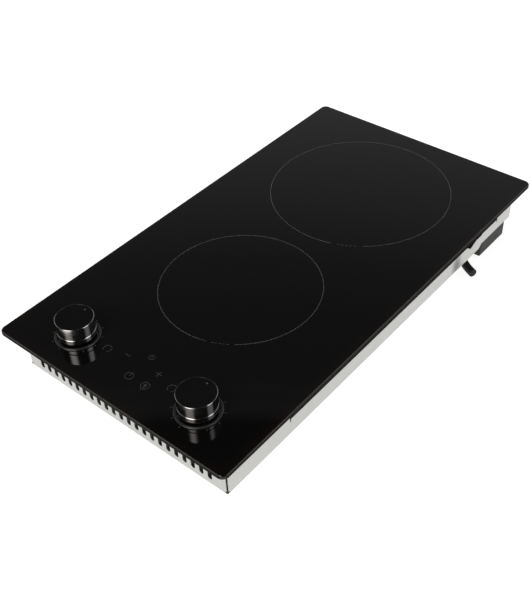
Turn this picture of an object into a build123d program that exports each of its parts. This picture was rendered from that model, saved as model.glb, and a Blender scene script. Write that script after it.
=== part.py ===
from build123d import *
import os
from math import cos, pi, radians, sin, tan

# Built-in glass-ceramic hob, two zones one behind the other, two rotary knobs.
# Millimetres. Origin: centre of the plane where the rim rests on the worktop.
# +X right, +Y to the rear, +Z up; the knobs are at the front, -Y.

# ---- driving dimensions ----
glass_width = 288.0
glass_depth = 520.0
glass_thick = 4.0
glass_corner = 7.0
glass_bevel = 0.8
seal_thick = 1.5
seal_width = 8.0
seal_inset = 1.5

tray_half = 130.0
tray_front = -243.0
tray_rear = 249.0
tray_sheet = 0.8
tray_low = -44.5
tray_raised = -40.0
step_front = 180.0
step_back = 184.5
wall_top = 0.4
low_wall_top = -26.0
low_wall_front = -156.6
low_wall_back = 216.6

slot_count = 23
slot_pitch = 10.0
slot_width = 5.0
slot_bottom = -38.6
slot_top = -12.0

knob_x = 77.6
knob_y = -217.4
knob_radius = 18.6
knob_top = 28.0
knob_bottom = 8.4
shaft_radius = 3.0
bushing_radius = 3.5
glass_hole_radius = 4.0
bezel_radius = 22.2
bezel_inner = 19.7

front_zone_y = -71.0
front_zone_radius = 82.5
rear_zone_y = 134.0
rear_zone_radius = 100.0

box_left = 65.0
box_right = 125.0
box_front = 195.0
box_rear = 248.5
box_bottom = -67.7
box_wall = 2.0
box_lid_thick = 2.0

cord_diameter = 9.4
cord_exit_y = 222.0
cord_exit_z = -54.0
coil_x = -19.0
coil_y = 120.0
coil_z = -56.8
coil_radius = 50.0
strand_offset = 6.7

# ---- heights worked out from them ----
glass_under = seal_thick
glass_top_z = seal_thick + glass_thick
floor_top = tray_low + tray_sheet
raised_floor_top = tray_raised + tray_sheet
inner_half = tray_half - tray_sheet

os.makedirs("parts", exist_ok=True)


def write_piece(piece, node):
    piece.part.label = node
    export_step(piece.part, f"parts/{node}.step")


# ---- glass panel and its seal ----
with BuildPart() as glass_panel:
    with BuildSketch(Plane.XY.offset(glass_under)):
        RectangleRounded(glass_width, glass_depth, glass_corner)
    extrude(amount=glass_thick)
    chamfer(glass_panel.faces().sort_by(Axis.Z)[-1].edges(), length=glass_bevel)
    with BuildSketch(Plane.XY.offset(glass_under)):
        with Locations((-knob_x, knob_y), (knob_x, knob_y)):
            Circle(glass_hole_radius)
    extrude(amount=glass_thick, mode=Mode.SUBTRACT)
write_piece(glass_panel, "glass_panel")

seal_outer_width = glass_width - 2 * seal_inset
seal_outer_depth = glass_depth - 2 * seal_inset
with BuildPart() as seal_strip:
    with BuildSketch(Plane.XY):
        RectangleRounded(seal_outer_width, seal_outer_depth, glass_corner - seal_inset)
        Rectangle(
            seal_outer_width - 2 * seal_width, seal_outer_depth - 2 * seal_width, mode=Mode.SUBTRACT
        )
    extrude(amount=seal_thick)
write_piece(seal_strip, "seal_strip")

# ---- sheet steel tray ----
slot_height = slot_top - slot_bottom
slot_centre_z = (slot_top + slot_bottom) / 2
seam_gap = 1.6
seam_bottom = -42.0
seam_notch = 2.4
vent_rows = (-222.0, -190.0)
tie_half = 11.6
tie_slot_width = 4.2
tie_width = 4.5
tie_angles = (-25.0, 205.0, 270.0)
wire_hole = (98.0, 222.0)
screw_rows = (-190.0, 233.0)
screw_z = -8.0
screw_radius = 1.5

with BuildPart() as tray:
    with BuildSketch(Plane.YZ.offset(-tray_half)):
        with BuildLine():
            Polyline(
                (tray_front, wall_top),
                (tray_front, tray_low),
                (step_front, tray_low),
                (step_back, tray_raised),
                (tray_rear, tray_raised),
                (tray_rear, wall_top),
                close=True,
            )
        make_face()
    extrude(amount=2 * tray_half)
    with BuildSketch(Plane.YZ.offset(-inner_half)):
        with BuildLine():
            Polyline(
                (tray_front + tray_sheet, wall_top + 1),
                (tray_front + tray_sheet, floor_top),
                (step_front - tray_sheet / 2, floor_top),
                (step_back - tray_sheet / 2, raised_floor_top),
                (tray_rear - tray_sheet, raised_floor_top),
                (tray_rear - tray_sheet, wall_top + 1),
                close=True,
            )
        make_face()
    extrude(amount=2 * inner_half, mode=Mode.SUBTRACT)
    # side walls are lower between the screw tabs, with a notch over the cord outlet
    with BuildSketch(Plane.YZ.offset(-tray_half - 1)):
        with BuildLine():
            Polyline(
                (low_wall_front, wall_top + 1),
                (low_wall_front, low_wall_top - 3.0),
                (low_wall_front + 1.6, low_wall_top - 3.0),
                (low_wall_front + 1.6, low_wall_top),
                (152.0, low_wall_top),
                (160.0, low_wall_top - 6.0),
                (171.4, low_wall_top - 1.2),
                (182.0, low_wall_top - 1.4),
                (185.0, low_wall_top),
                (low_wall_back - 1.6, low_wall_top),
                (low_wall_back - 1.6, low_wall_top - 3.0),
                (low_wall_back, low_wall_top - 3.0),
                (low_wall_back, wall_top + 1),
                close=True,
            )
        make_face()
    extrude(amount=2 * tray_half + 2, mode=Mode.SUBTRACT)
    # row of upright cooling slots in the front wall
    with BuildSketch(Plane.XZ.offset(-tray_front - 2)):
        with Locations((0, slot_centre_z)):
            with GridLocations(slot_pitch, 0, slot_count, 1):
                SlotOverall(slot_height, slot_width, rotation=90)
    extrude(amount=4, mode=Mode.SUBTRACT)
    # cooling slots in the floor under the electronics
    with BuildSketch(Plane.XY.offset(tray_low - 1)):
        for row_y in vent_rows:
            with Locations((0, row_y)):
                with GridLocations(slot_pitch, 0, 17, 1):
                    SlotOverall(20.0, 3.0, rotation=90)
        for angle in tie_angles:
            with Locations(Location((coil_x, coil_y), angle)):
                with Locations((coil_radius - tie_half, 0), (coil_radius + tie_half, 0)):
                    Rectangle(tie_slot_width, tie_width + 1.0)
    extrude(amount=3, mode=Mode.SUBTRACT)
    # holes for the screws that hold the tray to the side rails
    with BuildSketch(Plane.YZ.offset(-tray_half - 1)):
        with Locations(*[(y, screw_z) for y in screw_rows]):
            Circle(screw_radius + 0.2)
    extrude(amount=2 * tray_half + 2, mode=Mode.SUBTRACT)
    with BuildSketch(Plane.XY.offset(tray_raised - 1)):
        with Locations(wire_hole):
            Circle(9.0)
    extrude(amount=3, mode=Mode.SUBTRACT)
    # open upright seams at the folded corners; the front ones end in a notch at the floor
    with BuildSketch(Plane.XY.offset(seam_bottom)):
        with Locations(*[(x, y) for x in (-tray_half, tray_half) for y in (tray_front, tray_rear)]):
            Rectangle(2 * seam_gap, 2 * seam_gap)
    extrude(amount=wall_top - seam_bottom + 1, mode=Mode.SUBTRACT)
    with BuildSketch(Plane.XY.offset(floor_top)):
        with Locations((-tray_half, tray_front), (tray_half, tray_front)):
            Rectangle(2 * seam_notch, 2 * seam_notch, rotation=45)
    extrude(amount=seam_bottom - floor_top, mode=Mode.SUBTRACT)
write_piece(tray, "tray")

# ---- rails and brackets bonded under the glass ----
rail_outer = inner_half - 0.2
rail_sheet = 1.0
rail_top = 0.9
rail_front = -205.0
rail_rear = 241.0


def side_rail(side, node):
    """Steel angle along one side: one flange behind the tray wall, one under the glass."""
    with BuildPart() as rail:
        with BuildSketch(Plane.XZ.offset(-rail_rear)):
            with BuildLine():
                Polyline(
                    (side * rail_outer, rail_top),
                    (side * rail_outer, -34.0),
                    (side * (rail_outer - rail_sheet), -34.0),
                    (side * (rail_outer - rail_sheet), rail_top - rail_sheet),
                    (side * 112.0, rail_top - rail_sheet),
                    (side * 112.0, rail_top),
                    close=True,
                )
            make_face()
        extrude(amount=rail_rear - rail_front)
        with BuildSketch(Plane.YZ.offset(side * rail_outer - 2)):
            with Locations(*[(y, screw_z) for y in screw_rows]):
                Circle(screw_radius)
        extrude(amount=4, mode=Mode.SUBTRACT)
    write_piece(rail, node)


def end_bracket(face_y, inward, node):
    """Short steel angle under the front or rear edge of the glass."""
    with BuildPart() as bracket:
        with BuildSketch(Plane.YZ.offset(-104.0)):
            with BuildLine():
                Polyline(
                    (face_y, rail_top),
                    (face_y, -8.0),
                    (face_y + inward * rail_sheet, -8.0),
                    (face_y + inward * rail_sheet, rail_top - rail_sheet),
                    (face_y + inward * 11.0, rail_top - rail_sheet),
                    (face_y + inward * 11.0, rail_top),
                    close=True,
                )
            make_face()
        extrude(amount=208.0)
    write_piece(bracket, node)


side_rail(-1, "left_rail")
side_rail(1, "right_rail")
end_bracket(tray_front + tray_sheet + 0.2, 1, "front_bracket")
end_bracket(tray_rear - tray_sheet - 0.2, -1, "rear_bracket")

with BuildPart() as rail_adhesive:
    with BuildSketch(Plane.XY.offset(rail_top)):
        with Locations((-120.0, 18.0), (120.0, 18.0)):
            Rectangle(8.0, 430.0)
        with Locations((0, tray_front + 7.0), (0, tray_rear - 7.0)):
            Rectangle(196.0, 6.0)
    extrude(amount=glass_under - rail_top)
write_piece(rail_adhesive, "rail_adhesive")

with BuildPart() as tray_screws:
    for side in (-1, 1):
        outward = Plane((side * tray_half, 0, 0), x_dir=(0, 1, 0), z_dir=(side, 0, 0))
        with BuildSketch(outward):
            with Locations(*[(y, screw_z * side) for y in screw_rows]):
                Circle(3.0)
        extrude(amount=1.6)
        with BuildSketch(outward):
            with Locations(*[(y, screw_z * side) for y in screw_rows]):
                Circle(screw_radius)
        extrude(amount=-4.5)
    chamfer(tray_screws.faces().filter_by(Axis.X).group_by(Axis.X)[-1].edges(), length=0.5)
    chamfer(tray_screws.faces().filter_by(Axis.X).group_by(Axis.X)[0].edges(), length=0.5)
write_piece(tray_screws, "tray_screws")

# ---- rotary knobs, their encoders and bezels ----
rim_width = 0.8
rim_bevel = 0.3
cap_recess = 1.0
cap_below_rim = 0.15
cap_deck = 1.6
groove_top = 15.3
groove_height = 0.9
groove_depth = 0.8
skirt_radius = 18.6
skirt_lip = 0.5
skirt_bevel = 1.1
knob_wall = 1.7
dot_radius = 0.85
dot_offset = 13.6
dot_thick = 0.1
hub_radius = 6.5
hub_bottom = 11.5
hub_plate_z = 22.0
rib_bottom = 14.0
rib_thick = 1.4
rib_gap = 0.3
shaft_bottom = -6.5
shaft_top = 22.0
encoder_top = -1.4
encoder_bottom = -8.4


def knob_pieces(side, name):
    axis = Plane((side * knob_x, knob_y, 0), x_dir=(1, 0, 0), z_dir=(0, -1, 0))
    flat = Plane((side * knob_x, knob_y, 0))
    inner = knob_radius - knob_wall
    cap_floor = knob_top - cap_recess
    deck_under = cap_floor - cap_deck
    groove_bottom = groove_top - groove_height
    groove_radius = knob_radius - groove_depth
    with BuildPart() as shell:
        with BuildSketch(axis):
            with BuildLine():
                Polyline(
                    (0, deck_under),
                    (inner, deck_under),
                    (inner, knob_bottom),
                    (skirt_radius - skirt_bevel, knob_bottom),
                    (skirt_radius, knob_bottom + skirt_bevel),
                    (skirt_radius, groove_bottom - skirt_lip),
                    (skirt_radius - skirt_lip, groove_bottom),
                    (groove_radius, groove_bottom),
                    (groove_radius, groove_top),
                    (knob_radius, groove_top),
                    (knob_radius, knob_top - rim_bevel),
                    (knob_radius - rim_bevel, knob_top),
                    (knob_radius - rim_width, knob_top),
                    (knob_radius - rim_width, cap_floor),
                    (0, cap_floor),
                    close=True,
                )
            make_face()
        revolve(axis=Axis((side * knob_x, knob_y, 0), (0, 0, 1)))
    write_piece(shell, f"{name}_knob_shell")

    with BuildPart() as cap:
        with BuildSketch(flat.offset(cap_floor)):
            Circle(knob_radius - rim_width)
        extrude(amount=cap_recess - cap_below_rim)
    write_piece(cap, f"{name}_knob_cap")

    with BuildPart() as dot:
        with BuildSketch(flat.offset(knob_top - cap_below_rim)):
            with Locations((0, dot_offset)):
                Circle(dot_radius)
        extrude(amount=dot_thick)
    write_piece(dot, f"{name}_knob_dot")

    with BuildPart() as hub:
        with BuildSketch(flat.offset(hub_bottom)):
            Circle(hub_radius)
            Circle(shaft_radius, mode=Mode.SUBTRACT)
        extrude(amount=hub_plate_z - hub_bottom)
        with BuildSketch(flat.offset(hub_plate_z)):
            Circle(inner)
        extrude(amount=deck_under - hub_plate_z)
        rib_length = inner - hub_radius + rib_gap
        with BuildSketch(flat.offset(rib_bottom)):
            with PolarLocations(0, 4):
                with Locations((inner - rib_gap - rib_length / 2, 0)):
                    Rectangle(rib_length, rib_thick)
        extrude(amount=hub_plate_z - rib_bottom)
    write_piece(hub, f"{name}_knob_hub")

    with BuildPart() as shaft:
        with BuildSketch(flat.offset(shaft_bottom)):
            Circle(shaft_radius)
        extrude(amount=shaft_top - shaft_bottom)
        chamfer(shaft.faces().sort_by(Axis.Z)[-1].edges(), length=0.5)
    write_piece(shaft, f"{name}_knob_shaft")

    with BuildPart() as encoder:
        with BuildSketch(flat.offset(encoder_bottom)):
            RectangleRounded(15.0, 15.0, 1.0)
        extrude(amount=encoder_top - encoder_bottom)
        with BuildSketch(flat.offset(encoder_top)):
            Circle(bushing_radius)
        extrude(amount=9.5 - encoder_top)
        with BuildSketch(flat.offset(shaft_bottom - 0.1)):
            Circle(shaft_radius + 0.05)
        extrude(amount=20, mode=Mode.SUBTRACT)
    write_piece(encoder, f"{name}_encoder")

    with BuildPart() as bezel:
        with BuildSketch(flat.offset(glass_top_z)):
            Circle(bezel_radius)
            Circle(bezel_inner, mode=Mode.SUBTRACT)
        extrude(amount=1.2)
        chamfer(bezel.edges().filter_by(GeomType.CIRCLE).group_by(Axis.Z)[-1], length=0.4)
    write_piece(bezel, f"{name}_bezel")


knob_pieces(-1, "left")
knob_pieces(1, "right")

knob_places = [(-knob_x, knob_y), (knob_x, knob_y)]
with BuildPart() as encoder_nuts:
    with BuildSketch(Plane.XY.offset(glass_top_z)):
        with Locations(*knob_places):
            Circle(6.5)
            Circle(bushing_radius, mode=Mode.SUBTRACT)
    extrude(amount=0.5)
    with BuildSketch(Plane.XY.offset(glass_top_z + 0.5)):
        with Locations(*knob_places):
            RegularPolygon(5.6, 6)
            Circle(bushing_radius, mode=Mode.SUBTRACT)
    extrude(amount=2.0)
write_piece(encoder_nuts, "encoder_nuts")

# ---- radiant heaters under the two zones ----
dish_sheet = 0.6
dish_bottom = -26.0
dish_rim = -1.5
base_top = -15.0
ring_width = 13.0
ribbon_height = 5.0
ribbon_thick = 1.2
rod_z = -6.0
rod_radius = 2.2
head_size = (24.0, 16.0, 16.0)


def heater(centre_y, zone_radius, rod_angle, spring_places, name):
    outer = zone_radius + 2.0
    inner = outer - ring_width
    level = Plane((0, centre_y, 0))
    direction = (cos(radians(rod_angle)), sin(radians(rod_angle)), 0)
    rod_start = Plane((0, centre_y, rod_z), x_dir=(0, 0, 1), z_dir=direction)

    with BuildPart() as dish:
        with BuildSketch(level.offset(dish_bottom)):
            Circle(outer)
        extrude(amount=dish_rim - dish_bottom)
        fillet(dish.faces().sort_by(Axis.Z)[0].edges(), radius=2.0)
        with BuildSketch(level.offset(dish_bottom + dish_sheet)):
            Circle(outer - dish_sheet)
        extrude(amount=dish_rim - dish_bottom, mode=Mode.SUBTRACT)
        with BuildSketch(rod_start):
            Circle(rod_radius + 0.6)
        extrude(amount=outer + 2, mode=Mode.SUBTRACT)
    write_piece(dish, f"{name}_heater_dish")

    with BuildPart() as base:
        with BuildSketch(level.offset(dish_bottom + dish_sheet)):
            Circle(outer - 2.2)
        extrude(amount=base_top - dish_bottom - dish_sheet)
    write_piece(base, f"{name}_heater_insulation")

    with BuildPart() as ring:
        with BuildSketch(level.offset(base_top)):
            Circle(outer - dish_sheet)
            Circle(inner, mode=Mode.SUBTRACT)
        extrude(amount=glass_under - base_top)
        with BuildSketch(rod_start):
            Circle(rod_radius + 0.4)
        extrude(amount=outer + 2, mode=Mode.SUBTRACT)
    write_piece(ring, f"{name}_heater_ring")

    rows = 6
    first = inner - 6.0
    pitch = (first - 18.0) / (rows - 1)
    half_gap = 20.0
    with BuildPart() as ribbon:
        with BuildSketch(level.offset(base_top)):
            with BuildLine():
                for row in range(rows):
                    radius = first - row * pitch
                    CenterArc((0, 0), radius, 270 + half_gap, 360 - 2 * half_gap)
                    if row < rows - 1:
                        end = 270 + half_gap if row % 2 else 270 - half_gap
                        along = (cos(radians(end)), sin(radians(end)))
                        Line(
                            (radius * along[0], radius * along[1]),
                            ((radius - pitch) * along[0], (radius - pitch) * along[1]),
                        )
            trace(line_width=ribbon_thick)
        extrude(amount=ribbon_height)
    write_piece(ribbon, f"{name}_heater_ribbon")

    with BuildPart() as limiter:
        with BuildSketch(rod_start.offset(-inner + 4.0)):
            Circle(rod_radius)
        extrude(amount=inner - 4.0 + outer + 1.0)
        with BuildSketch(rod_start.offset(outer + 1.0)):
            with Locations((-3.0, 0)):
                RectangleRounded(head_size[2], head_size[0], 1.5)
        extrude(amount=head_size[1])
        with BuildSketch(rod_start.offset(outer + 1.0 + head_size[1])):
            with Locations((-3.0, -6.0), (-3.0, 6.0)):
                Rectangle(0.8, 6.3)
        extrude(amount=5.0)
    write_piece(limiter, f"{name}_heater_limiter")

    with BuildPart() as springs:
        for x, y in spring_places:
            with BuildSketch(Plane.XZ.offset(-y - 6.0)):
                with BuildLine():
                    Polyline(
                        (x - 22.0, floor_top + 0.4),
                        (x - 14.0, floor_top + 0.4),
                        (x - 5.0, dish_bottom - 0.4),
                        (x + 5.0, dish_bottom - 0.4),
                        (x + 14.0, floor_top + 0.4),
                        (x + 22.0, floor_top + 0.4),
                    )
                trace(line_width=0.8)
            extrude(amount=12.0)
    write_piece(springs, f"{name}_heater_springs")


heater(
    front_zone_y, front_zone_radius, 45.0, [(-50.0, -95.0), (50.0, -95.0), (0.0, -25.0)], "front"
)
heater(rear_zone_y, rear_zone_radius, -45.0, [(-55.0, 62.0), (55.0, 62.0), (0.0, 168.0)], "rear")

# ---- control electronics at the front ----
with BuildPart() as heat_barrier:
    with BuildSketch(Plane.XZ.offset(158.0)):
        with BuildLine():
            Polyline(
                (-126.0, floor_top), (104.0, floor_top), (104.0, -24.0), (126.0, -24.0),
                (126.0, -2.5), (-126.0, -2.5), close=True,
            )
        make_face()
    extrude(amount=0.8)
    with BuildSketch(Plane.XY.offset(floor_top)):
        with Locations((-11.0, -163.4)):
            Rectangle(230.0, 9.2)
    extrude(amount=0.8)
write_piece(heat_barrier, "heat_barrier")

board_thick = 1.6
touch_board_z = encoder_bottom - board_thick
key_places = [
    (-41.0, -213.0), (41.0, -213.0), (-20.2, -207.5), (20.2, -207.5),
    (0.0, -196.2), (0.0, -225.5), (20.2, -225.5),
]
with BuildPart() as touch_board:
    with BuildSketch(Plane.XY.offset(touch_board_z)):
        with Locations((0, -212.0)):
            RectangleRounded(206.0, 48.0, 2.0)
    extrude(amount=board_thick)
write_piece(touch_board, "touch_board")

with BuildPart() as touch_springs:
    with BuildSketch(Plane.XY.offset(encoder_bottom)):
        with Locations(*key_places):
            Circle(3.5)
            Circle(2.7, mode=Mode.SUBTRACT)
    extrude(amount=glass_under - encoder_bottom)
write_piece(touch_springs, "touch_springs")

with BuildPart() as board_carrier:
    with BuildSketch(Plane.XY.offset(touch_board_z - 2.0)):
        with Locations((0, -212.0)):
            RectangleRounded(214.0, 50.0, 3.0)
            Rectangle(180.0, 30.0, mode=Mode.SUBTRACT)
    extrude(amount=2.0)
write_piece(board_carrier, "board_carrier")

power_board_z = -37.0
power_top = power_board_z + board_thick
with BuildPart() as power_board:
    with BuildSketch(Plane.XY.offset(power_board_z)):
        with Locations((0, -204.0)):
            RectangleRounded(200.0, 60.0, 2.0)
    extrude(amount=board_thick)
write_piece(power_board, "power_board")

with BuildPart() as board_standoffs:
    with BuildSketch(Plane.XY.offset(floor_top)):
        with Locations((0, -204.0)):
            with GridLocations(188.0, 48.0, 2, 2):
                RegularPolygon(3.0, 6)
    extrude(amount=power_board_z - floor_top)
write_piece(board_standoffs, "board_standoffs")

with BuildPart() as power_relays:
    with BuildSketch(Plane.XY.offset(power_top)):
        with Locations((-70.0, -212.0), (-40.0, -212.0), (-10.0, -212.0)):
            Rectangle(13.0, 29.0)
    extrude(amount=15.0)
    chamfer(power_relays.edges().filter_by(Axis.Z), length=0.8)
write_piece(power_relays, "power_relays")

with BuildPart() as transformer:
    with BuildSketch(Plane.XY.offset(power_top)):
        with Locations((30.0, -206.0)):
            Rectangle(32.0, 27.0)
    extrude(amount=18.0)
    with BuildSketch(Plane.XY.offset(power_top + 3.0)):
        with Locations((30.0, -206.0)):
            Rectangle(22.0, 38.0)
    extrude(amount=12.0)
write_piece(transformer, "transformer")

with BuildPart() as capacitors:
    with BuildSketch(Plane.XY.offset(power_top)):
        with Locations((60.0, -201.0), (60.0, -216.0)):
            Circle(6.3)
        with Locations((73.0, -208.0)):
            Circle(4.0)
    extrude(amount=16.0)
    fillet(capacitors.faces().group_by(Axis.Z)[-1].edges(), radius=1.0)
write_piece(capacitors, "capacitors")

mains_holes = (82.0, 88.0, 94.0)
heater_holes = (54.0, 59.0, 64.0, 69.0)
terminal_y = -177.0
terminal_hole_z = power_top + 5.0
with BuildPart() as board_terminals:
    with BuildSketch(Plane.XY.offset(power_top)):
        with Locations((88.0, terminal_y - 6.0), (61.5, terminal_y - 6.0)):
            Rectangle(22.0, 12.0)
    extrude(amount=12.0)
    with BuildSketch(Plane.XZ.offset(-terminal_y)):
        with Locations(*[(x, terminal_hole_z) for x in mains_holes + heater_holes]):
            Circle(1.8)
    extrude(amount=8.0, mode=Mode.SUBTRACT)
write_piece(board_terminals, "board_terminals")

# ---- terminal box under the rear right corner ----
box_width = box_right - box_left
box_depth = box_rear - box_front
box_centre = ((box_left + box_right) / 2, (box_front + box_rear) / 2)
box_round = 1.2
lid_top = box_bottom + box_lid_thick
lid_screws = [(box_left + 7.0, box_rear - 7.0), (box_right - 7.0, box_front + 7.0)]

with BuildPart() as terminal_box:
    with BuildSketch(Plane.XY.offset(lid_top)):
        with Locations(box_centre):
            RectangleRounded(box_width, box_depth, box_round)
    extrude(amount=tray_raised - lid_top)
    with BuildSketch(Plane.XY.offset(lid_top)):
        with Locations(box_centre):
            Rectangle(box_width - 2 * box_wall, box_depth - 2 * box_wall)
        with Locations(*lid_screws):
            Circle(4.0, mode=Mode.SUBTRACT)
    extrude(amount=tray_raised - box_wall - lid_top, mode=Mode.SUBTRACT)
    with BuildSketch(Plane.XY.offset(tray_raised - box_wall - 1)):
        with Locations(wire_hole):
            Circle(8.0)
    extrude(amount=box_wall + 2, mode=Mode.SUBTRACT)
    with BuildSketch(Plane.XY.offset(lid_top - 1)):
        with Locations(*lid_screws):
            Circle(screw_radius)
    extrude(amount=14.0, mode=Mode.SUBTRACT)
write_piece(terminal_box, "terminal_box")

with BuildPart() as terminal_box_lid:
    with BuildSketch(Plane.XY.offset(box_bottom)):
        with Locations(box_centre):
            RectangleRounded(box_width, box_depth, box_round)
        with Locations(*lid_screws):
            Circle(screw_radius, mode=Mode.SUBTRACT)
    extrude(amount=box_lid_thick)
    chamfer(terminal_box_lid.faces().sort_by(Axis.Z)[0].outer_wire().edges(), length=0.6)
write_piece(terminal_box_lid, "terminal_box_lid")

with BuildPart() as terminal_box_screws:
    with BuildSketch(Plane.XY.offset(box_bottom - 1.2)):
        with Locations(*lid_screws):
            Circle(2.8)
    extrude(amount=1.2)
    with BuildSketch(Plane.XY.offset(box_bottom)):
        with Locations(*lid_screws):
            Circle(screw_radius)
    extrude(amount=14.0)
    with BuildSketch(Plane.XY.offset(box_bottom - 1.2)):
        with Locations(*lid_screws):
            Rectangle(3.4, 0.8)
            Rectangle(0.8, 3.4)
    extrude(amount=0.7, mode=Mode.SUBTRACT)
write_piece(terminal_box_screws, "terminal_box_screws")

with BuildPart() as terminal_block:
    with BuildSketch(Plane.XY.offset(-60.0)):
        with Locations((95.0, 207.5)):
            RectangleRounded(32.0, 14.0, 1.0)
    extrude(amount=12.0)
    with BuildSketch(Plane.XY.offset(-60.0)):
        with Locations((95.0, 207.5)):
            with GridLocations(10.0, 0, 3, 1):
                Circle(2.2)
    extrude(amount=5.0, mode=Mode.SUBTRACT)
write_piece(terminal_block, "terminal_block")

with BuildPart() as cord_clamp:
    with BuildSketch(Plane.YZ.offset(69.0)):
        with Locations((cord_exit_y, cord_exit_z)):
            RectangleRounded(22.0, 13.0, 1.5)
    extrude(amount=8.0)
write_piece(cord_clamp, "cord_clamp")

with BuildPart() as cord_strain_relief:
    relief_tip = 37.0
    with BuildSketch(Plane((0, cord_exit_y, cord_exit_z), x_dir=(1, 0, 0), z_dir=(0, -1, 0))):
        with BuildLine():
            Polyline(
                (box_left, 0), (box_left, 8.5), (box_left - 2.5, 8.5), (box_left - 2.5, 7.0),
                (relief_tip, 5.6), (relief_tip, 0), close=True,
            )
        make_face()
    revolve(axis=Axis((0, cord_exit_y, cord_exit_z), (1, 0, 0)))
write_piece(cord_strain_relief, "cord_strain_relief")

# ---- earth screw and blank rating plate ----
with BuildPart() as earth_screw:
    with BuildSketch(Plane.XY.offset(raised_floor_top)):
        with Locations((70.0, 236.0)):
            Circle(5.0)
    extrude(amount=0.8)
    with BuildSketch(Plane.XY.offset(raised_floor_top + 0.8)):
        with Locations((70.0, 236.0)):
            RegularPolygon(4.0, 6)
    extrude(amount=3.2)
    with BuildSketch(Plane.XY.offset(raised_floor_top + 4.0)):
        with Locations((70.0, 236.0)):
            Circle(2.0)
    extrude(amount=4.0)
write_piece(earth_screw, "earth_screw")

with BuildPart() as rating_plate:
    with BuildSketch(Plane.XY.offset(tray_low - 0.3)):
        with Locations((0, -90.0)):
            RectangleRounded(90.0, 50.0, 2.0)
    extrude(amount=0.3)
write_piece(rating_plate, "rating_plate")


# ---- inner wiring ----
def wire_tube(points, radius, bend):
    """A round wire along straight runs joined by arcs of one radius."""
    with BuildPart() as tube:
        with BuildLine() as path:
            FilletPolyline(*points, radius=bend)
        with BuildSketch(Plane(path.line @ 0, z_dir=path.line % 0)):
            Circle(radius)
        sweep()
    return tube


lane_xs = (108.0, 112.0, 116.5, 121.0)
mains_z = -33.0
heater_wire_z = -27.4
with BuildPart() as mains_wires:
    for hole_x, lane, turn_y, end_x in zip(
        (94.0, 98.0, 102.0), lane_xs[1:], (-162.0, -166.0, -170.0), mains_holes
    ):
        add(wire_tube(
            [
                (hole_x, 222.0, -48.0),
                (hole_x, 222.0, mains_z),
                (lane, 196.0, mains_z),
                (lane, turn_y, mains_z),
                (end_x, turn_y, terminal_hole_z),
                (end_x, terminal_y, terminal_hole_z),
            ],
            1.5, 3.0,
        ).part)
write_piece(mains_wires, "mains_wires")


def limiter_tab(centre_y, zone_radius, rod_angle, sideways):
    """Tip of one terminal tab of a heater's limiter, and a point further out."""
    reach = zone_radius + 2.0 + 1.0 + head_size[1] + 5.0
    ux, uy = cos(radians(rod_angle)), sin(radians(rod_angle))
    tip_x = reach * ux - sideways * uy
    tip_y = centre_y + reach * uy + sideways * ux
    tip_z = rod_z - 3.0
    return [(tip_x, tip_y, tip_z), (tip_x + 8.0 * ux, tip_y + 8.0 * uy, tip_z)]


tabs = [
    limiter_tab(front_zone_y, front_zone_radius, 45.0, -6.0),
    limiter_tab(front_zone_y, front_zone_radius, 45.0, 6.0),
    limiter_tab(rear_zone_y, rear_zone_radius, -45.0, -6.0),
    limiter_tab(rear_zone_y, rear_zone_radius, -45.0, 6.0),
]
with BuildPart() as heater_wires:
    for tab, lane, turn_y, end_x in zip(
        tabs, lane_xs, (-161.5, -164.5, -167.5, -170.5), heater_holes
    ):
        out_y = tab[1][1]
        add(wire_tube(
            tab + [
                (lane, out_y - 5.0, -19.0),
                (lane, out_y - 34.0, heater_wire_z),
                (lane, turn_y, heater_wire_z),
                (76.0, turn_y, heater_wire_z),
                (end_x, turn_y, terminal_hole_z),
                (end_x, terminal_y, terminal_hole_z),
            ],
            1.2, 2.0,
        ).part)
write_piece(heater_wires, "heater_wires")

# ---- supply cord: lead into a coil tied under the tray, and its bare end ----
cord_radius = cord_diameter / 2
bundle_radius = strand_offset + cord_radius
coil_turns = 3.5
entry_radius = coil_radius + strand_offset
quarter_turns = coil_turns * 90.0
leave_radius = coil_radius + strand_offset * cos(radians(quarter_turns))
leave_z = coil_z + strand_offset * sin(radians(quarter_turns))

lead_route = [
    (relief_tip, cord_exit_y, cord_exit_z),
    (-30.0, cord_exit_y, cord_exit_z),
    (-62.0, 200.0, -55.6),
    (-74.8, 160.0, coil_z),
    (coil_x - entry_radius, coil_y, coil_z),
]
tail_route = [
    (coil_x + leave_radius, coil_y, leave_z),
    (36.0, 148.0, leave_z),
    (50.4, 171.9, leave_z),
    (75.4, 184.0, leave_z),
    (103.3, 181.6, leave_z),
    (123.0, 166.4, leave_z),
    (130.5, 161.6, leave_z),
    (137.6, 158.3, leave_z),
]


def corner_radii(points):
    """Each corner's arc takes 0.45 of its shorter run."""
    places = [Vector(*point) for point in points]
    runs = [after - before for before, after in zip(places, places[1:])]
    radii = []
    for run, following in zip(runs, runs[1:]):
        shorter = min(run.length, following.length)
        radii.append(0.45 * shorter / tan(radians(run.get_angle(following) / 2)))
    return radii


def cord_tube(points, node):
    """Round tube along the route; prints its bends and compares volume with length."""
    radii = corner_radii(points)
    with BuildPart() as tube:
        with BuildLine():
            route = FilletPolyline(*points, radius=radii)
        with BuildSketch(Plane(route @ 0, z_dir=route % 0)):
            Circle(cord_radius)
        sweep()
    length = route.length
    expected = Circle(cord_radius, mode=Mode.PRIVATE).area * length
    print(node, "length", round(length, 1), "bends", [round(r, 1) for r in radii])
    print(node, "volume ratio", round(tube.part.volume / expected, 4))
    write_piece(tube, node)
    return length


lead_length = cord_tube(lead_route, "cord_lead")
tail_length = cord_tube(tail_route, "cord_tail")

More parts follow.
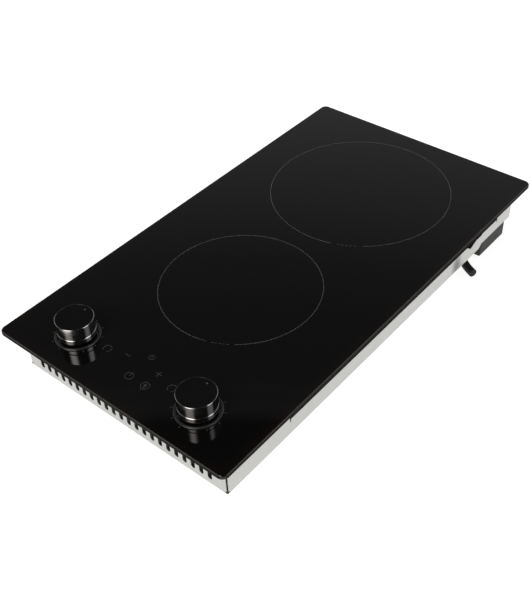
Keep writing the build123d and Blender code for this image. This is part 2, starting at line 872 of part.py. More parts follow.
with BuildPart() as cord_coil:
    with BuildSketch(Plane.XZ.offset(-coil_y)):
        with Locations((coil_x + coil_radius, coil_z)):
            Circle(bundle_radius)
    revolve(axis=Axis((coil_x, coil_y, coil_z), (0, 0, 1)))
write_piece(cord_coil, "cord_coil")
coil_length = coil_turns * 2 * pi * coil_radius
print("cord length", round(lead_length + coil_length + tail_length, 1))

tie_sheet = 1.0
tie_top = floor_top + 0.2
tie_foot = coil_z - bundle_radius - 0.2
with BuildPart() as cord_ties:
    for angle in tie_angles:
        ux, uy = cos(radians(angle)), sin(radians(angle))
        across = Plane(
            (coil_x + coil_radius * ux, coil_y + coil_radius * uy, (tie_top + tie_foot) / 2),
            x_dir=(ux, uy, 0), z_dir=(uy, -ux, 0),
        )
        inner_width = 2 * (bundle_radius + 0.2)
        inner_height = tie_top - tie_foot
        with BuildSketch(across.offset(-tie_width / 2)):
            RectangleRounded(inner_width + 2 * tie_sheet, inner_height + 2 * tie_sheet, 3.0)
            RectangleRounded(inner_width, inner_height, 2.0, mode=Mode.SUBTRACT)
        extrude(amount=tie_width)
        with BuildSketch(across.offset(-tie_width / 2 - 1.0)):
            with Locations((-inner_width / 2 - tie_sheet - 2.0, -2.0)):
                RectangleRounded(4.4, 6.0, 0.8)
        extrude(amount=tie_width + 2.0)
write_piece(cord_ties, "cord_ties")
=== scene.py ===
import math
import bpy
import numpy as np
from mathutils import Matrix, Vector


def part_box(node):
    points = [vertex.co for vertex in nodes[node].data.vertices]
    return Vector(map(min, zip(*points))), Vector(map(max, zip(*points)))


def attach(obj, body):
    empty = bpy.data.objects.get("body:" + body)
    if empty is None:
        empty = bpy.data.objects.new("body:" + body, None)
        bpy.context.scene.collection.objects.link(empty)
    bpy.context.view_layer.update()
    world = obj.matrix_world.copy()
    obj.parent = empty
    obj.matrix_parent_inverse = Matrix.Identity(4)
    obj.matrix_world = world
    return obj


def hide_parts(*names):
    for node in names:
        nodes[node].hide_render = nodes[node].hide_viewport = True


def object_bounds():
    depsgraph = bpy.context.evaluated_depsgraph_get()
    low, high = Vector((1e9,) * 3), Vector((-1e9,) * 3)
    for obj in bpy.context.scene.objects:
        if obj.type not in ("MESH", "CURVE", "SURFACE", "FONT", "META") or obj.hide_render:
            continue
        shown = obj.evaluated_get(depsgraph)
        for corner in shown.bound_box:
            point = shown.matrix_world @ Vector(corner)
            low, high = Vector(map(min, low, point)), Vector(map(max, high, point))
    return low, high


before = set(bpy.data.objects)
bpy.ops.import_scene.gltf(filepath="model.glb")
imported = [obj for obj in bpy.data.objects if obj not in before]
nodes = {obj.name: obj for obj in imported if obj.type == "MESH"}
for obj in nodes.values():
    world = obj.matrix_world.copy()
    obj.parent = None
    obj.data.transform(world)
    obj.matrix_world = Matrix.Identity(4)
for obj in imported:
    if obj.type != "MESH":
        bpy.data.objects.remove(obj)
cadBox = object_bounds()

scene = bpy.context.scene
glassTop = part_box("glass_panel")[1].z


def show(text):
    print("hob:", text)


camera = {
    "place": (0.4868, -0.5875, 0.6184),
    "lookAt": (0.0327, -0.0716, 0.0055),
    "roll": 2.716,        # degrees, clockwise lean of the view
    "lens": 56.54,        # mm
    "film": 36.0,         # mm along its longer side
    "near": 0.01,
    "far": 60.0,
}


def makeCamera(values):
    lensData = bpy.data.cameras.new("camera")
    lensData.lens = values["lens"]
    lensData.sensor_width = values["film"]
    lensData.clip_start = values["near"]
    lensData.clip_end = values["far"]
    view = bpy.data.objects.new("camera", lensData)
    scene.collection.objects.link(view)
    place = Vector(values["place"])
    aim = (Vector(values["lookAt"]) - place).to_track_quat("-Z", "Y").to_matrix().to_4x4()
    lean = Matrix.Rotation(math.radians(-values["roll"]), 4, "Z")
    view.matrix_world = Matrix.Translation(place) @ aim @ lean
    scene.camera = view


makeCamera(camera)
show("camera placed")


def startMaterial(name, color, roughness, metallic=0.0, **sockets):
    # a material with one Principled shader; other sockets are named with _ for a space
    material = bpy.data.materials.new(name)
    material.use_nodes = True
    shader = material.node_tree.nodes["Principled BSDF"]
    shader.inputs["Base Color"].default_value = (*color, 1.0)
    shader.inputs["Roughness"].default_value = roughness
    shader.inputs["Metallic"].default_value = metallic
    for key, value in sockets.items():
        shader.inputs[key.replace("_", " ")].default_value = value
    return material, material.node_tree, shader


def addNode(tree, kind, inputs=None, **settings):
    # a node whose inputs are given as values, or as another node's output to link
    node = tree.nodes.new(kind)
    for key, value in settings.items():
        setattr(node, key, value)
    for key, value in (inputs or {}).items():
        if isinstance(value, bpy.types.NodeSocket):
            tree.links.new(value, node.inputs[key])
        else:
            node.inputs[key].default_value = value
    return node


def objectSpace(tree, stretch=(1.0, 1.0, 1.0), centre=(0.0, 0.0, 0.0), turn=(0.0, 0.0, 0.0)):
    # object coordinates stretched per axis, with centre moved to zero, or turned about the origin
    coords = addNode(tree, "ShaderNodeTexCoord")
    moved = addNode(tree, "ShaderNodeMapping", {
        "Vector": coords.outputs["Object"],
        "Location": tuple(-c * s for c, s in zip(centre, stretch)),
        "Rotation": turn,
        "Scale": stretch})
    return moved.outputs["Vector"]


def splitAxes(tree, space):
    return addNode(tree, "ShaderNodeSeparateXYZ", {"Vector": space}).outputs


def combine(tree, operation, *values, clamp=False):
    # one Math node on up to three numbers or outputs
    node = addNode(tree, "ShaderNodeMath", dict(enumerate(values)), operation=operation)
    node.use_clamp = clamp
    return node.outputs[0]


def noise(tree, space, scale, detail=3.0, rough=0.5):
    return addNode(tree, "ShaderNodeTexNoise", {
        "Vector": space, "Scale": scale, "Detail": detail, "Roughness": rough}).outputs["Fac"]


def spread(tree, value, low, high, fromLow=0.3, fromHigh=0.7):
    # stretches a 0..1 pattern to run from low to high
    return addNode(tree, "ShaderNodeMapRange", {
        "Value": value, "From Min": fromLow, "From Max": fromHigh,
        "To Min": low, "To Max": high}).outputs["Result"]


def blendColors(tree, factor, first, second):
    # first where the factor is 0, second where it is 1
    node = addNode(tree, "ShaderNodeMix", data_type="RGBA")
    for slot, value in (("A", first), ("B", second)):
        socket = [s for s in node.inputs if s.name == slot and s.type == "RGBA"][0]
        if isinstance(value, bpy.types.NodeSocket):
            tree.links.new(value, socket)
        else:
            socket.default_value = (*value, 1.0)
    tree.links.new(factor, node.inputs["Factor"])
    return [s for s in node.outputs if s.type == "RGBA"][0]


def bump(tree, shader, height, strength, distance):
    node = addNode(tree, "ShaderNodeBump", {
        "Height": height, "Strength": strength, "Distance": distance})
    tree.links.new(node.outputs["Normal"], shader.inputs["Normal"])


def feed(tree, shader, **values):
    # links each output to the shader's socket of that name
    for key, value in values.items():
        tree.links.new(value, shader.inputs[key.replace("_", " ")])


def gridQuads(rows, cols, wrapRows):
    # quads between neighbouring rows and columns of a grid of points, whose columns close into a loop
    r = np.arange(rows if wrapRows else rows - 1)
    a, b = (m.ravel() for m in np.meshgrid(r, np.arange(cols), indexing="ij"))
    a2, b2 = (a + 1) % rows, (b + 1) % cols
    return np.stack([a * cols + b, a * cols + b2, a2 * cols + b2, a2 * cols + b], axis=1)


def addPrint(name, strokes, material):
    # joins the (points, faces) pairs of all strokes into one piece on the hob's fixed body
    points, faces, start = [], [], 0
    for strokePoints, strokeFaces in strokes:
        points.append(strokePoints.reshape(-1, 3))
        faces.append(strokeFaces + start)
        start += len(points[-1])
    mesh = bpy.data.meshes.new(name)
    mesh.from_pydata(np.concatenate(points).tolist(), [], np.concatenate(faces).tolist())
    mesh.polygons.foreach_set("use_smooth", np.ones(len(mesh.polygons), bool))
    mesh.materials.append(material)
    mesh.validate()
    piece = bpy.data.objects.new(name, mesh)
    scene.collection.objects.link(piece)
    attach(piece, "hob")


cord = {
    "diameter": 0.0094,
    "length": 1.44,
    "exit": (0.037, 0.222, -0.054),
    "coilCentre": (-0.019, 0.120, -0.0568),
    "coilRadius": 0.050,
    "strandOffset": 0.0067,   # how far each turn lies from the bundle's middle
    "turns": 3.5,
    "pointsPerTurn": 14,
    "lead": [(-0.030, 0.222, -0.054), (-0.062, 0.200, -0.0556), (-0.0748, 0.160, -0.0568)],
    "tail": [(0.036, 0.148), (0.0504, 0.1719), (0.0754, 0.184), (0.1033, 0.1816),
             (0.123, 0.1664), (0.1305, 0.1616), (0.1376, 0.1583)],
    "tailHeight": -0.06154,
}


def rubberMaterial():
    # black rubber with a fine grain, paler and duller where it is scuffed
    material, tree, shader = startMaterial("cordRubber", (0.010, 0.010, 0.0095), 0.5,
                                           Specular_IOR_Level=0.2)
    space = objectSpace(tree)
    grain = noise(tree, space, 1400.0, detail=4.0, rough=0.6)
    scuff = noise(tree, space, 55.0, detail=5.0, rough=0.65)
    worn = spread(tree, scuff, 0.0, 1.0, 0.45, 0.75)
    feed(tree, shader,
         Base_Color=blendColors(tree, worn, (0.006, 0.006, 0.0055), (0.012, 0.0115, 0.011)),
         Roughness=spread(tree, scuff, 0.42, 0.60))
    bump(tree, shader, grain, strength=0.25, distance=0.0002)
    return material


def cordPoints(values):
    # the coil's points go round at a radius that is opened by one over the cosine of half a step,
    # because the smooth line runs inside its points; each turn shifts a quarter turn round the bundle
    steps = int(round(values["turns"] * values["pointsPerTurn"]))
    step = 2 * math.pi / values["pointsPerTurn"]
    k = np.arange(1, steps)
    around = math.pi + k * step
    shift = k * step / 4
    radius = (values["coilRadius"] + values["strandOffset"] * np.cos(shift)) / math.cos(step / 2)
    x0, y0, z0 = values["coilCentre"]
    coil = np.stack([x0 + radius * np.cos(around), y0 + radius * np.sin(around),
                     z0 + values["strandOffset"] * np.sin(shift)], axis=1)
    tail = np.array([(x, y, values["tailHeight"]) for x, y in values["tail"]])
    return np.concatenate([np.array([values["exit"], *values["lead"]]), coil, tail])


def makeCord(values):
    points = cordPoints(values)
    line = bpy.data.curves.new("power_cord", "CURVE")
    line.dimensions = "3D"
    spline = line.splines.new("NURBS")
    spline.points.add(len(points) - 1)
    spline.points.foreach_set("co", np.column_stack([points, np.ones(len(points))]).ravel())
    spline.order_u = 3
    spline.use_endpoint_u = True
    spline.resolution_u = 8
    line.bevel_depth = values["diameter"] / 2
    line.bevel_resolution = 6
    line.use_fill_caps = True
    line.materials.append(rubberMaterial())
    piece = bpy.data.objects.new("power_cord", line)
    scene.collection.objects.link(piece)
    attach(piece, "hob")
    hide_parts("cord_lead", "cord_coil", "cord_tail")


makeCord(cord)
show("cord laid")


glass = {
    "tones": ((0.0030, 0.0030, 0.0030), (0.0072, 0.0042, 0.0036)),   # the middle, and the warm rim
    # a lighter tone on the top bevel: a painted edge highlight
    "bevelHighlightTone": (0.062, 0.061, 0.059),
    "gloss": (0.026, 0.060),
    "warmReach": (0.012, 0.001),      # how far in from the edge the warm rim starts and is full
    "groundReach": (0.0010, 0.0004),  # the same for the ground edge
    "bevelDepth": (0.0008, 0.0005),   # how far below the top the bevel starts and is full
}


def nearEdge(tree, axes, corner, reach):
    # 0 in the middle of the glass and 1 at its edge, from the distance across and the distance along
    across, along = (
        spread(tree, combine(tree, "ABSOLUTE", axes[axis]), 0.0, 1.0, end - reach[0], end - reach[1])
        for axis, end in (("X", corner.x), ("Y", corner.y)))
    return combine(tree, "MAXIMUM", across, along)


def glassMaterial(values):
    # nearly black ceramic glass: warm close to the rim, wiped smears in the gloss, a ground outer edge,
    # and a lighter tone on the top bevel that is a painted edge highlight
    material, tree, shader = startMaterial("ceramicGlass", values["tones"][0], values["gloss"][0],
                                           IOR=1.5, Specular_IOR_Level=0.3)
    space = objectSpace(tree)
    axes = splitAxes(tree, space)
    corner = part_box("glass_panel")[1]
    wide = noise(tree, space, 14.0)
    slanted = objectSpace(tree, (1.0, 0.28, 1.0), turn=(0.0, 0.0, 0.5))
    smear = noise(tree, slanted, 26.0, detail=5.0, rough=0.62)
    rim = nearEdge(tree, axes, corner, values["warmReach"])
    ground = nearEdge(tree, axes, corner, values["groundReach"])
    low, high = (corner.z - depth for depth in values["bevelDepth"])
    # the top bevel's mask, where the painted edge highlight goes
    bevel = combine(tree, "MULTIPLY", ground, spread(tree, axes["Z"], 0.0, 1.0, low, high))
    warm = combine(tree, "MULTIPLY", rim, spread(tree, wide, 0.2, 1.0))
    wiped = spread(tree, smear, *values["gloss"], 0.35, 0.75)
    body = blendColors(tree, warm, *values["tones"])
    feed(tree, shader,
         Base_Color=blendColors(tree, bevel, body, values["bevelHighlightTone"]),
         Roughness=combine(tree, "ADD", ground, wiped, clamp=True))
    waves = noise(tree, space, 9.0, detail=1.0, rough=0.3)
    bump(tree, shader, waves, strength=0.05, distance=0.0005)
    return material


sheet = {
    "tones": ((0.495, 0.495, 0.478), (0.568, 0.568, 0.552)),
    "gloss": (0.34, 0.46),
    "crystals": 260.0,
    # a soft dark patch painted on the right wall where the cord comes out: a painted reflection of the
    # cord
    "cordReflectionCentre": (0.130, 0.1315, -0.0370),
    "cordReflectionStretch": (0.6, 1.0, 0.55),
    "cordReflectionReach": (0.001, 0.013),       # full within the first, gone at the second
    "cordReflectionStrength": 0.75,
    "cordReflectionTone": (0.10, 0.10, 0.095),
}


def trayMaterial(values):
    # zinc-coated sheet: fine crystals that differ a little in tone and gloss, a drawn grain,
    # and a soft dark patch painted on the right wall where the cord comes out, a painted reflection of the
    # cord
    material, tree, shader = startMaterial("zincSheet", values["tones"][0], 0.40, 0.9)
    space = objectSpace(tree)
    crystal = addNode(tree, "ShaderNodeTexVoronoi", {
        "Vector": space, "Scale": values["crystals"], "Randomness": 1.0})
    tone = addNode(tree, "ShaderNodeSeparateColor", {"Color": crystal.outputs["Color"]}).outputs["Red"]
    cloud = noise(tree, space, 16.0, detail=4.0, rough=0.55)
    grain = noise(tree, objectSpace(tree, (0.06, 0.06, 1.0)), 2600.0, detail=2.0)
    mixed = combine(tree, "ADD", spread(tree, tone, 0.0, 0.35, 0.0, 1.0), spread(tree, cloud, 0.0, 0.65))
    away = addNode(tree, "ShaderNodeVectorMath", {
        0: objectSpace(tree, values["cordReflectionStretch"], centre=values["cordReflectionCentre"])}, operation="LENGTH")
    # painted reflection: darkens the sheet's colour in a soft patch round the cord's way out
    cordReflection = addNode(tree, "ShaderNodeMapRange", {
        "Value": away.outputs["Value"],
        "From Min": values["cordReflectionReach"][0], "From Max": values["cordReflectionReach"][1],
        "To Min": values["cordReflectionStrength"], "To Max": 0.0}, interpolation_type="SMOOTHSTEP").outputs["Result"]
    feed(tree, shader,
         Base_Color=blendColors(tree, cordReflection, blendColors(tree, mixed, *values["tones"]), values["cordReflectionTone"]),
         Roughness=spread(tree, mixed, *values["gloss"], 0.0, 1.0))
    bump(tree, shader, grain, strength=0.12, distance=0.0002)
    return material


def plainMaterial(name, dark, light, roughness, metallic=0.0, patch=60.0, grain=900.0, relief=0.2,
                  depth=0.0002, **sockets):
    # two close tones in soft patches, with a fine grain in relief
    material, tree, shader = startMaterial(name, dark, roughness, metallic, **sockets)
    space = objectSpace(tree)
    cloud = noise(tree, space, patch, detail=4.0, rough=0.6)
    feed(tree, shader,
         Base_Color=blendColors(tree, spread(tree, cloud, 0.0, 1.0), dark, light),
         Roughness=spread(tree, cloud, roughness * 0.85, min(1.0, roughness * 1.15)))
    bump(tree, shader, noise(tree, space, grain), relief, depth)
    return material


chrome = {
    "tones": ((0.43, 0.42, 0.41), (0.51, 0.50, 0.49)),
    # painted shade: a darker tone on the two thin edges that dims their glints
    "edgeShadeTone": (0.22, 0.215, 0.21),
    "gloss": (0.13, 0.19),
    "rimRise": (0.02764, 0.02772),    # heights above the origin between which the rim's painted shade begins
    "lipRise": 0.01415,               # height of the edge under the groove that has painted shade
    "lipHalf": 0.00032,               # half of that edge's own height
    "lean": 2.5,                      # degrees
}


def chromeMaterial(values):
    # dark chrome on a turned wall: faint rings from the lathe, a little haze, painted shade on the thin
    # edges, and a gloss that leans up a little all round, as on a wall that narrows towards its top
    material, tree, shader = startMaterial("darkChrome", values["tones"][0], values["gloss"][0], 1.0)
    lathe = noise(tree, objectSpace(tree, (0.05, 0.05, 1.0)), 5200.0, detail=2.0, rough=0.6)
    haze = noise(tree, objectSpace(tree), 160.0)
    rise = splitAxes(tree, objectSpace(tree))["Z"]
    # the two thin turned edges, at the cap's rim and under the groove, are painted darker than the wall:
    # painted shade that dims their glints
    rim = spread(tree, rise, 0.0, 1.0, *values["rimRise"])
    lip = combine(tree, "COMPARE", rise, values["lipRise"], values["lipHalf"])
    wall = blendColors(tree, spread(tree, lathe, 0.0, 1.0), *values["tones"])
    feed(tree, shader,
         Base_Color=blendColors(tree, combine(tree, "MAXIMUM", rim, lip), wall, values["edgeShadeTone"]),
         Roughness=spread(tree, haze, *values["gloss"]))
    # a height that falls as z rises tips the gloss upwards by the lean
    slope = combine(tree, "MULTIPLY", rise, -math.tan(math.radians(values["lean"])))
    bump(tree, shader, slope, strength=1.0, distance=1.0)
    return material


finishes = {
    "glass_ceramic": glassMaterial(glass),
    "seal_foam": plainMaterial("sealFoam", (0.006, 0.006, 0.006), (0.011, 0.011, 0.011), 0.85,
                               patch=200.0, grain=1500.0, relief=0.6, depth=0.0004,
                               Specular_IOR_Level=0.15),
    "tray_steel": trayMaterial(sheet),
    # dark rail steel, darkened further and left almost without specular: painted shade for the hollow seen
    # under the glass
    "rail_steel": plainMaterial("darkRailPaintedShade", (0.0022, 0.0022, 0.0022), (0.0055, 0.0055, 0.0052), 0.6,
                                Specular_IOR_Level=0.01),
    "insulation": plainMaterial("mineralBoard", (0.55, 0.52, 0.46), (0.70, 0.67, 0.61), 0.95,
                                patch=120.0, grain=1400.0, relief=0.8, depth=0.0006),
    "ribbon_alloy": plainMaterial("ribbonAlloy", (0.20, 0.17, 0.15), (0.34, 0.29, 0.25), 0.45,
                                  metallic=0.9, patch=300.0, grain=1200.0),
    "ceramic": plainMaterial("steatite", (0.70, 0.68, 0.62), (0.80, 0.78, 0.73), 0.6,
                             patch=90.0, grain=1200.0),
    "knob_metal": chromeMaterial(chrome),
    "knob_gloss": plainMaterial("blackLacquer", (0.0022, 0.0022, 0.0022), (0.0030, 0.0030, 0.0030), 0.06,
                                patch=30.0, grain=400.0, relief=0.01, Specular_IOR_Level=0.3),
    "knob_mark": plainMaterial("knobMark", (0.065, 0.065, 0.065), (0.09, 0.09, 0.09), 0.5),
    "bezel_metal": plainMaterial("bezelMetal", (0.030, 0.030, 0.030), (0.042, 0.041, 0.040), 0.34,
                                 metallic=0.5),
    "dark_plastic": plainMaterial("darkPlastic", (0.022, 0.0215, 0.020), (0.032, 0.031, 0.029), 0.6,
                                  Specular_IOR_Level=0.25),
    "shaft_steel": plainMaterial("shaftSteel", (0.45, 0.44, 0.43), (0.56, 0.55, 0.54), 0.3, metallic=1.0),
    "circuit_board": plainMaterial("circuitBoard", (0.02, 0.10, 0.04), (0.03, 0.14, 0.055), 0.4),
    "component_plastic": plainMaterial("componentPlastic", (0.03, 0.03, 0.035), (0.05, 0.05, 0.055), 0.5),
    "wire_insulation": plainMaterial("wireInsulation", (0.25, 0.24, 0.22), (0.33, 0.32, 0.30), 0.5),
    "label_foil": plainMaterial("labelFoil", (0.55, 0.56, 0.57), (0.66, 0.67, 0.68), 0.4, metallic=0.6),
    "cord_rubber": bpy.data.materials["cordRubber"],
}

for node in nodes.values():
    for place in node.material_slots:
        # a packed material carries its slot's name
        place.material = finishes[place.material.name.split(".")[0]]
show("finishes given to %d parts" % len(nodes))


printing = {
    "height": 0.00006,        # the ink stands this far above the glass
    "shoulder": 0.8,          # how much of a line's width its flat top takes up
    "ringWidth": 0.00056,
    "lineWidth": 0.00046,
    "dashWidth": 0.00042,
    "tickWidth": 0.000552,
    "ringInk": ((0.052, 0.052, 0.052), (0.072, 0.072, 0.072)),
    "tickInk": ((0.05, 0.05, 0.05), (0.07, 0.07, 0.07)),
    "symbolInk": ((0.034, 0.034, 0.034), (0.047, 0.047, 0.047)),
}


def inkMaterial(values, name):
    # enamel printed on the glass: dull, with a very fine grain
    return plainMaterial(name, *values[name], 0.38, patch=350.0, grain=2500.0, relief=0.1, depth=0.00005)


def stroke(path, width, closed=False):
    # a flat band with sloped shoulders carried along a path on the glass: each point is the path's
    # point, plus the path's left-hand normal times the section's width, at the section's height
    path = np.asarray(path, float)
    if closed:
        along = np.roll(path, -1, axis=0) - np.roll(path, 1, axis=0)
    else:
        along = np.gradient(path, axis=0)
    along /= np.linalg.norm(along, axis=1, keepdims=True)
    normal = np.stack([-along[:, 1], along[:, 0]], axis=1)
    side = width / 2 * np.array([1.0, printing["shoulder"], -printing["shoulder"], -1.0])
    rise = glassTop + printing["height"] * np.array([0.0, 1.0, 1.0, 0.0])
    flat = path[:, None, :] + normal[:, None, :] * side[None, :, None]
    up = np.broadcast_to(rise, flat.shape[:2])
    points = np.concatenate([flat, up[..., None]], axis=2)
    faces = gridQuads(len(path), len(side), closed)
    if not closed:
        ends = np.array([(3, 2, 1, 0), (0, 1, 2, 3)])
        ends[1] += (len(path) - 1) * len(side)
        faces = np.concatenate([faces, ends])
    return points, faces


def arc(centre, radius, start, end, steps=48):
    # centre plus the radius times the cosine and sine of angles from start to end, in degrees
    angle = np.radians(np.linspace(start, end, steps))
    return np.stack([centre[0] + radius * np.cos(angle), centre[1] + radius * np.sin(angle)], axis=1)


rings = {
    "zones": [(0.0, -0.071, 0.0825), (0.0, 0.134, 0.100)],   # middle and radius
    "gap": (-72.5, -53.0),    # degrees round the ring, where a row of small dashes stands
    "margin": 3.4,            # degrees left bare at each end of the gap
    "dashes": 5,
    "dashSpan": (0.2, 0.75),  # the inked part of each dash's share of the row
    "steps": 241,
    "dashSteps": 5,
}


def makeRings(values):
    begin, end = values["gap"]
    step = (end - begin - 2 * values["margin"]) / values["dashes"]
    strokes = []
    for x, y, radius in values["zones"]:
        ring = arc((x, y), radius, end, 360 + begin, values["steps"])
        strokes.append(stroke(ring, printing["ringWidth"]))
        for k in range(values["dashes"]):
            first, last = (begin + values["margin"] + (k + share) * step for share in values["dashSpan"])
            dash = arc((x, y), radius, first, last, values["dashSteps"])
            strokes.append(stroke(dash, printing["dashWidth"]))
    addPrint("zone_rings", strokes, inkMaterial(printing, "ringInk"))


ticks = {
    "reach": (0.0231, 0.0249),     # from the knob's middle
    "turns": (90, -180, -30),      # degrees: the off mark, the last mark and the step between
}


def makeTicks(values):
    first, last, step = values["turns"]
    strokes = []
    for knob in ("left_knob_shell", "right_knob_shell"):
        low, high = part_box(knob)
        x, y = (low.x + high.x) / 2, (low.y + high.y) / 2
        for angle in np.radians(np.arange(first, last - 1, step)):
            way = np.array([math.cos(angle), math.sin(angle)])
            ends = [(x, y) + way * reach for reach in values["reach"]]
            strokes.append(stroke(ends, printing["tickWidth"]))
    addPrint("dial_ticks", strokes, inkMaterial(printing, "tickInk"))


symbols = {
    "zoneKeys": [(-0.0415, -0.213), (0.0415, -0.213)],
    "minus": (-0.0202, -0.2075),
    "plus": (0.0202, -0.2075),
    "timer": (0.0, -0.1962),
    "power": (0.0, -0.2255),
    "lock": (0.0202, -0.2255),
    "armLength": 0.0031,
    "zoneRadius": 0.0041,
    "zoneTurn": (-60, 240),       # degrees, from one end of the open ring to the other
    "timerRadius": 0.0029,
    "dotRadius": 0.00035,
    "dotWide": 1.6,               # this and the other wides are shares of the line width
    "powerRadius": 0.0042,
    "powerTurn": (108, 432),
    "powerBar": (0.0006, 0.0047),   # how far above the key's middle it starts and ends
    "powerBarWide": 1.6,
    # the small key in the lock's ring, from the ring's middle
    "bowCentre": (-0.0002, 0.0010),
    "bowRadius": 0.0011,
    "collar": (0.0015, -0.0004),    # half its length, and its height
    "collarWide": 1.5,
    "stemEnd": -0.0064,
    "stemWide": 0.9,
    "tooth": (0.0012, -0.0022),     # its length, and its height
}


def makeSymbols(values):
    strokes = []

    def draw(path, wide=1.0, closed=False):
        strokes.append(stroke(path, wide * printing["lineWidth"], closed))

    def circle(centre, radius, wide=1.0, steps=48):
        draw(arc(centre, radius, 0, 360, steps + 1)[:-1], wide, closed=True)

    def bar(key, start, end, wide=1.0):
        # a straight line between two places given from the key's middle
        draw(np.array(values[key]) + np.array([start, end]), wide)

    arm = values["armLength"]
    for centre in values["zoneKeys"]:
        draw(arc(centre, values["zoneRadius"], *values["zoneTurn"]))
    bar("minus", (-arm, 0.0), (arm, 0.0))
    bar("plus", (-arm, 0.0), (arm, 0.0))
    bar("plus", (0.0, -arm), (0.0, arm))
    circle(values["timer"], values["timerRadius"])
    circle(values["timer"], values["dotRadius"], values["dotWide"], steps=12)
    draw(arc(values["power"], values["powerRadius"], *values["powerTurn"]))
    low, high = values["powerBar"]
    bar("power", (0.0, low), (0.0, high), values["powerBarWide"])
    circle(values["lock"], values["powerRadius"])
    circle(np.add(values["lock"], values["bowCentre"]), values["bowRadius"])
    half, rise = values["collar"]
    bar("lock", (-half, rise), (half, rise), values["collarWide"])
    bar("lock", (0.0, rise), (0.0, values["stemEnd"]), values["stemWide"])
    length, rise = values["tooth"]
    bar("lock", (0.0, rise), (length, rise))
    addPrint("touch_symbols", strokes, inkMaterial(printing, "symbolInk"))


makeRings(rings)
makeTicks(ticks)
makeSymbols(symbols)
show("glass printed")


studio = {
    "floorHalf": 6.0,
    "floorDrop": 0.0005,
    "floorTones": ((0.31, 0.31, 0.31), (0.33, 0.33, 0.33)),
    "floorGlow": 0.88,
    # how high along the sky's axis (0 level, 1 straight up), and how bright there
    "skyStops": [(0.00, 1.0), (0.30, 0.95), (0.45, 0.50), (0.515, 0.36), (0.574, 0.26),
                 (0.629, 0.145), (0.67, 0.10), (0.725, 0.096), (0.732, 0.14), (0.7365, 0.10),
                 (0.742, 0.138), (0.7496, 0.12), (0.7512, 0.014), (0.88, 0.03), (1.0, 0.90)],
    "skyAxis": (-0.054, -0.047, 0.997),   # the sky's bands lie level round this axis
    "skyStrength": 1.0,
    "darkSide": -33.0,        # degrees round from +X
    "darkLevel": 0.25,
    "darkFade": (-0.2, 0.6),  # the dimming starts and is full where the cosine to the dark side is this
    "haze": (0.08, 0.2),      # the heights where the pale strip at the horizon starts to end and has ended
    "seenRoom": (1.0, 1.0, 1.0),
    # soft lights in the sky: turn and rise of the middle, full within the inner angle, gone at the outer
    "glows": [
        {"turn": -90.0, "rise": 42.0, "inner": 2.0, "outer": 21.0, "level": 8.2,
         "color": (1.0, 0.95, 0.91)},
        {"turn": 23.0, "rise": 43.0, "inner": 5.0, "outer": 16.0, "level": 4.8,
         "color": (0.96, 0.98, 1.0)},
    ],
}


def makeFloor(values):
    material, tree, shader = startMaterial("paleFloor", values["floorTones"][0], 0.9,
                                           Specular_IOR_Level=0.1)
    cloud = noise(tree, objectSpace(tree), 1.3, detail=2.0, rough=0.4)
    tone = blendColors(tree, spread(tree, cloud, 0.0, 1.0), *values["floorTones"])
    feed(tree, shader, Base_Color=tone)
    shader.inputs["Emission Color"].default_value = (1.0, 1.0, 1.0, 1.0)
    shader.inputs["Emission Strength"].default_value = values["floorGlow"]
    # seen from below the floor lets the look through, so that the underside can be seen
    clear = addNode(tree, "ShaderNodeBsdfTransparent")
    side = addNode(tree, "ShaderNodeNewGeometry").outputs["Backfacing"]
    either = addNode(tree, "ShaderNodeMixShader", {0: side, 1: shader.outputs[0], 2: clear.outputs[0]})
    tree.links.new(either.outputs[0], tree.nodes["Material Output"].inputs["Surface"])
    half, z = values["floorHalf"], cadBox[0].z - values["floorDrop"]
    corners = [(-half, -half, z), (half, -half, z), (half, half, z), (-half, half, z)]
    mesh = bpy.data.meshes.new("floor")
    mesh.from_pydata(corners, [], [(0, 1, 2, 3)])
    mesh.materials.append(material)
    floor = bpy.data.objects.new("floor", mesh)
    scene.collection.objects.link(floor)


def skyward(turn, rise):
    # the direction that a turn round from +X and a rise above the horizon point in, both in degrees
    turn, rise = math.radians(turn), math.radians(rise)
    return (math.cos(turn) * math.cos(rise), math.sin(turn) * math.cos(rise), math.sin(rise))


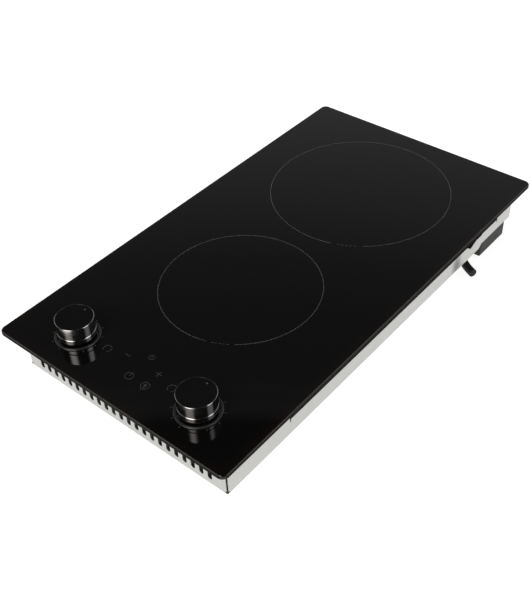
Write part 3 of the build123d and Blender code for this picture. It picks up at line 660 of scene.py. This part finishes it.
def makeSky(values):
    world = bpy.data.worlds.new("studioSky")
    scene.world = world
    world.use_nodes = True
    tree = world.node_tree
    way = addNode(tree, "ShaderNodeTexCoord").outputs["Generated"]

    def toward(direction):
        # 1 straight towards the direction, 0 square to it, -1 away from it
        node = addNode(tree, "ShaderNodeVectorMath", {0: way, 1: direction}, operation="DOT_PRODUCT")
        return node.outputs["Value"]

    def scaled(color, level):
        node = addNode(tree, "ShaderNodeVectorMath", {0: color, "Scale": level}, operation="SCALE")
        return node.outputs[0]

    height = toward(values["skyAxis"])
    ramp = addNode(tree, "ShaderNodeValToRGB", {"Fac": height})
    stops = ramp.color_ramp.elements
    while len(stops) < len(values["skyStops"]):
        stops.new(0.5)
    for stop, (at, level) in zip(stops, values["skyStops"]):
        stop.position = at
        stop.color = (level, level, level, 1.0)
    # the room dims towards the dark side, but not in the pale strip at the horizon
    darkSide = toward(skyward(values["darkSide"], 0.0))
    dim = spread(tree, darkSide, 1.0, values["darkLevel"], *values["darkFade"])
    lift = spread(tree, height, 0.0, 1.0, *values["haze"])
    shade = addNode(tree, "ShaderNodeMix", {"Factor": lift, "A": 1.0, "B": dim}, data_type="FLOAT")
    total = scaled(ramp.outputs["Color"], shade.outputs[0])
    for glow in values["glows"]:
        edge, core = (math.cos(math.radians(glow[reach])) for reach in ("outer", "inner"))
        level = addNode(tree, "ShaderNodeMapRange", {
            "Value": toward(skyward(glow["turn"], glow["rise"])), "From Min": edge, "From Max": core,
            "To Min": 0.0, "To Max": glow["level"]}, interpolation_type="SMOOTHSTEP").outputs["Result"]
        light = scaled(glow["color"], level)
        total = addNode(tree, "ShaderNodeVectorMath", {0: total, 1: light}, operation="ADD").outputs[0]
    # looked at directly, the room is plain and pale
    direct = addNode(tree, "ShaderNodeLightPath").outputs["Is Camera Ray"]
    background = tree.nodes["Background"].inputs
    tree.links.new(blendColors(tree, direct, total, values["seenRoom"]), background["Color"])
    background["Strength"].default_value = values["skyStrength"]


makeFloor(studio)
makeSky(studio)
scene.view_settings.view_transform = "Standard"
show("studio lit")

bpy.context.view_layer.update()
show("sizes written")
